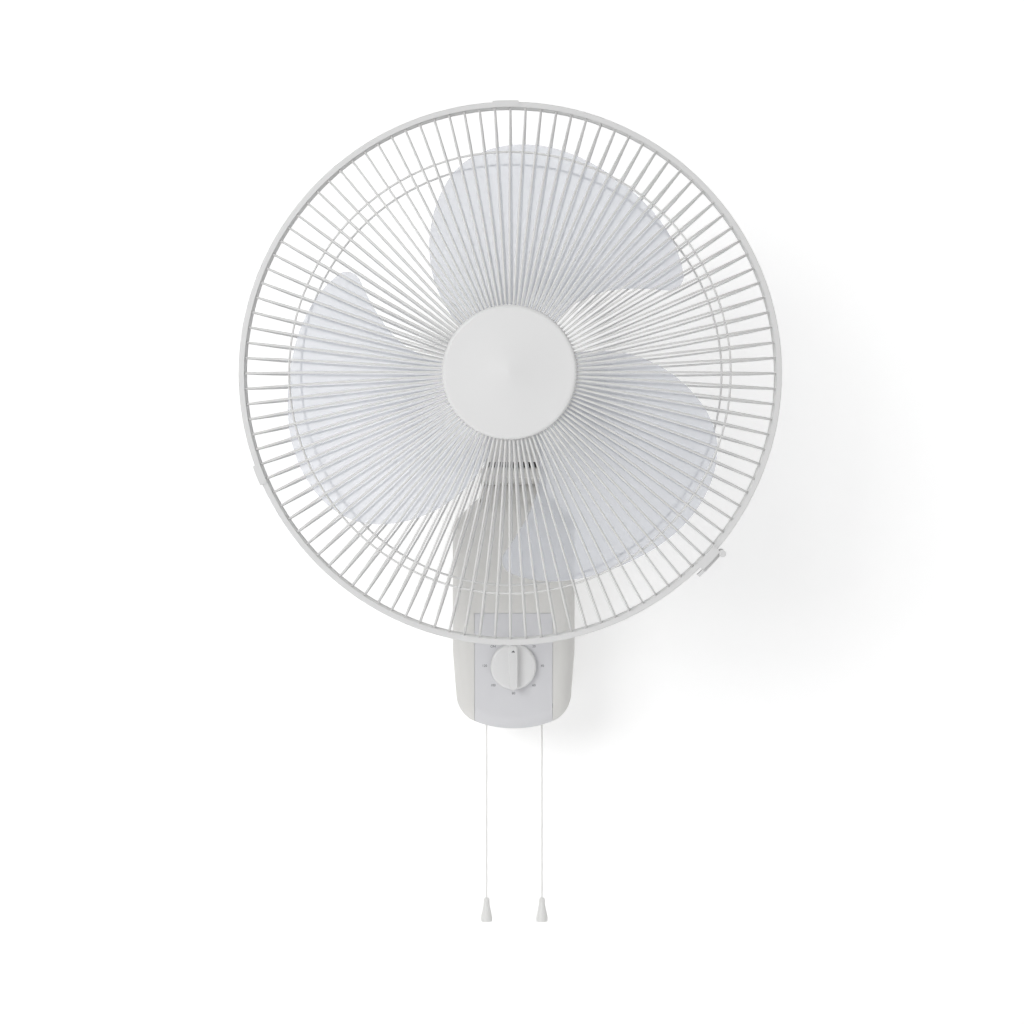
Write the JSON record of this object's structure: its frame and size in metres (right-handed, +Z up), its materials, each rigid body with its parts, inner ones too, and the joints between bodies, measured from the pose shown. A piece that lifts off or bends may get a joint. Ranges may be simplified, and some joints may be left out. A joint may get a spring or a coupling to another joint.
{
  "type": "wall fan",
  "caption": "Wall mounted oscillating fan with a round wire guard, a bottle-shaped housing with a timer knob, a tilting and swinging head, and pull cords for speed and swing.",
  "frame": {"origin": "centre of the four wall screw holes, on the wall face behind the wall plate", "axes": "+Z up, +Y into the wall, so the fan faces -Y; the fan axis lies in the plane X = 0"},
  "size_m": [0.452, 0.348, 0.7434],
  "materials": {
    "steel": "zinc-plated pressed and turned steel",
    "grey_shell": "fine-textured light warm grey moulded plastic",
    "panel_grey": "smooth satin grey moulded plastic",
    "knob_grey": "satin light grey moulded plastic",
    "black_plastic": "black moulded nylon",
    "capacitor_shell": "gloss black moulded box",
    "rubber": "soft black rubber",
    "light_plastic": "semi-gloss light grey moulded plastic",
    "cord": "thin braided pale cord",
    "bronze": "sintered bronze",
    "cast_metal": "as-cast aluminium alloy",
    "copper": "enamelled copper wire, taped",
    "rotor_metal": "turned laminations with cast end rings",
    "guard_wire": "powder-coated light grey steel wire",
    "hoop": "semi-gloss light grey moulded channel",
    "cap": "satin light grey moulded plastic",
    "blade_plastic": "milky translucent bluish moulded plastic"
  },
  "bodies": {
    "wall_unit": {"wall_plate": "steel", "rear_housing": "grey_shell", "front_housing": "grey_shell", "control_panel": "panel_grey", "housing_screws": "steel", "tilt_yoke": "steel", "timer_case": "black_plastic", "speed_switch": "black_plastic", "swing_switch": "black_plastic", "speed_spring": "steel", "swing_spring": "steel", "cord_eyelets": "light_plastic", "terminal_block": "black_plastic", "capacitor": "capacitor_shell", "cable_inlet": "rubber"},
    "timer": {"timer_knob": "knob_grey", "timer_shaft": "steel"},
    "speed_pull_unit": {"speed_plunger": "black_plastic", "speed_cord": "cord", "speed_pull_knob": "light_plastic"},
    "swing_pull_unit": {"swing_plunger": "black_plastic", "swing_cord": "cord", "swing_pull_knob": "light_plastic"},
    "neck": {"neck_front_shell": "grey_shell", "neck_rear_shell": "grey_shell", "tilt_bracket": "steel", "tilt_pin": "steel", "tilt_washers": "steel", "pan_post": "steel", "post_washers": "black_plastic", "swing_arm": "steel", "post_nut": "steel"},
    "head": {"motor_frame": "cast_metal", "pan_bush": "bronze", "swing_motor": "steel", "rear_bell": "cast_metal", "front_bell": "cast_metal", "stator_core": "steel", "stator_windings": "copper", "shaft_bearings": "steel", "motor_bolts": "steel", "motor_rear_cover": "grey_shell", "dust_ring": "black_plastic", "cover_screws": "steel", "motor_front_cover": "grey_shell", "rear_guard": "guard_wire", "guard_nut": "black_plastic", "front_guard": "guard_wire", "guard_hoop": "hoop", "centre_cap": "cap", "cap_plate": "black_plastic", "hoop_clips": "light_plastic", "latch_base": "light_plastic"},
    "crank": {"swing_crank": "steel"},
    "latch": {"latch_lever": "light_plastic"},
    "rotor": {"motor_shaft": "steel", "rotor_core": "rotor_metal", "blade": "blade_plastic", "drive_pin": "steel", "blade_nut": "black_plastic"}
  },
  "joints": [
    {"name": "head_tilt", "type": "hinge", "parent": "wall_unit", "child": "neck", "pos_m": [0, -0.062, 0.088], "axis": [1, 0, 0], "range_deg": [-10, 25]},
    {"name": "head_pan", "type": "hinge", "parent": "neck", "child": "head", "pos_m": [0, -0.084, 0.15], "axis": [0, 0, 1], "range_deg": [-40, 40]},
    {"name": "crank_turn", "type": "hinge", "parent": "head", "child": "crank", "pos_m": [0, -0.097, 0.174], "axis": [0, 0, 1], "range_deg": [-90, 90]},
    {"name": "blade_spin", "type": "hinge", "parent": "head", "child": "rotor", "pos_m": [0, -0.2, 0.22], "axis": [0, 1, 0], "continuous": true},
    {"name": "timer_turn", "type": "hinge", "parent": "wall_unit", "child": "timer", "pos_m": [0, -0.1, -0.047], "axis": [0, 1, 0], "range_deg": [-45, 270]},
    {"name": "speed_pull", "type": "slide", "parent": "wall_unit", "child": "speed_pull_unit", "axis": [0, 0, -1], "range_m": [0, 0.01], "stiffness_N_per_m": 800, "springref_m": -0.003, "deforming": ["speed_spring"]},
    {"name": "swing_pull", "type": "slide", "parent": "wall_unit", "child": "swing_pull_unit", "axis": [0, 0, -1], "range_m": [0, 0.01], "stiffness_N_per_m": 800, "springref_m": -0.003, "deforming": ["swing_spring"]},
    {"name": "latch_turn", "type": "hinge", "parent": "head", "child": "latch", "pos_m": [0.17638, -0.29, 0.07022], "axis": [0, -1, 0], "range_deg": [0, 100]}
  ],
  "couplings": [
    {"joint": "crank_turn", "follows": "head_pan", "ratio": -2.25}
  ]
}
